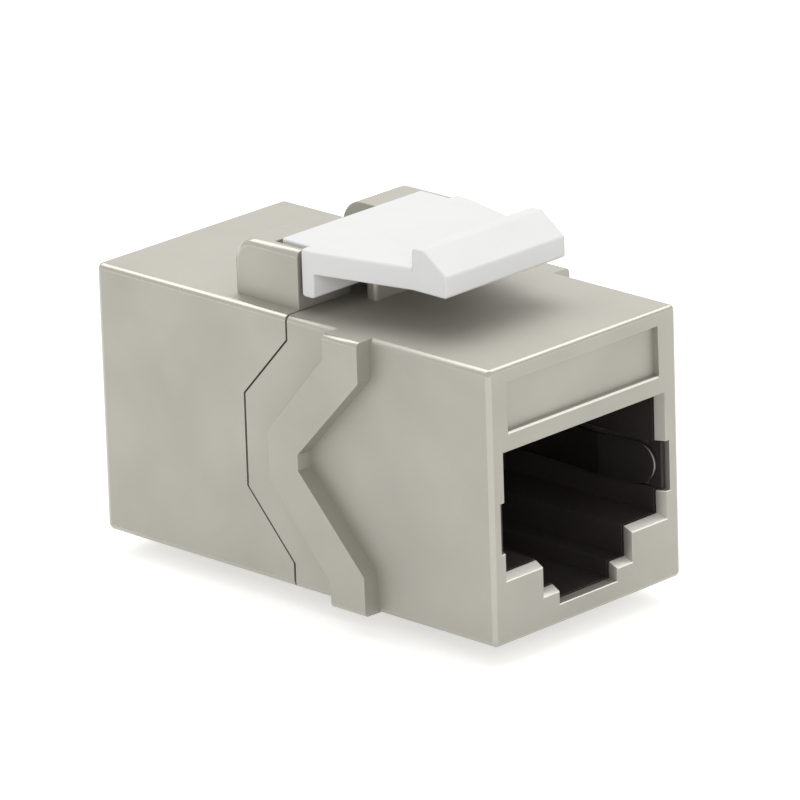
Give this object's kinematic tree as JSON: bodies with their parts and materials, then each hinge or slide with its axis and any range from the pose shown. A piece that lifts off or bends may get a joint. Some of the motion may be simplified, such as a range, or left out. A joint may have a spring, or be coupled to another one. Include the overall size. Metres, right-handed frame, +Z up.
{
  "type": "shielded keystone coupler",
  "caption": "Shielded keystone jack of the feed-through kind: metal housing with a plug socket at each end, a chevron panel stop and a sprung plastic latch on top.",
  "frame": {"origin": "centre of the overall box in plan, at the height of the underside of the fixed catch, the lowest point", "axes": "+Z up towards the latch, +Y from the front plug opening to the rear one, +X across the width"},
  "size_m": [0.0164, 0.0294, 0.0211],
  "materials": {
    "nickel_shell": "satin nickel plate on die-cast zinc",
    "latch_plastic": "satin moulded",
    "socket_plastic": "matt moulded",
    "comb_plastic": "matt moulded",
    "board": "solder mask",
    "contact_gold": "gold plated",
    "spring_metal": "nickel plated spring bronze"
  },
  "bodies": {
    "housing": {"front_shell": "nickel_shell", "rear_shell": "nickel_shell", "circuit_board": "board", "front_socket_body": "socket_plastic", "rear_socket_body": "socket_plastic", "front_contact_block": "comb_plastic", "rear_contact_block": "comb_plastic", "front_contact_1": "contact_gold", "rear_contact_1": "contact_gold", "front_contact_2": "contact_gold", "rear_contact_2": "contact_gold", "front_contact_3": "contact_gold", "rear_contact_3": "contact_gold", "front_contact_4": "contact_gold", "rear_contact_4": "contact_gold", "front_contact_5": "contact_gold", "rear_contact_5": "contact_gold", "front_contact_6": "contact_gold", "rear_contact_6": "contact_gold", "front_contact_7": "contact_gold", "rear_contact_7": "contact_gold", "front_contact_8": "contact_gold", "rear_contact_8": "contact_gold", "front_left_ground_spring": "spring_metal", "front_right_ground_spring": "spring_metal", "rear_left_ground_spring": "spring_metal", "rear_right_ground_spring": "spring_metal"},
    "latch": {"latch": "latch_plastic"}
  },
  "joints": [
    {"name": "latch_hinge", "type": "hinge", "parent": "housing", "child": "latch", "pos_m": [0, 0.0016, 0.0176], "axis": [1, 0, 0], "range_deg": [0, 8], "stiffness_Nm_per_rad": 0.3, "springref_deg": -2.01}
  ]
}
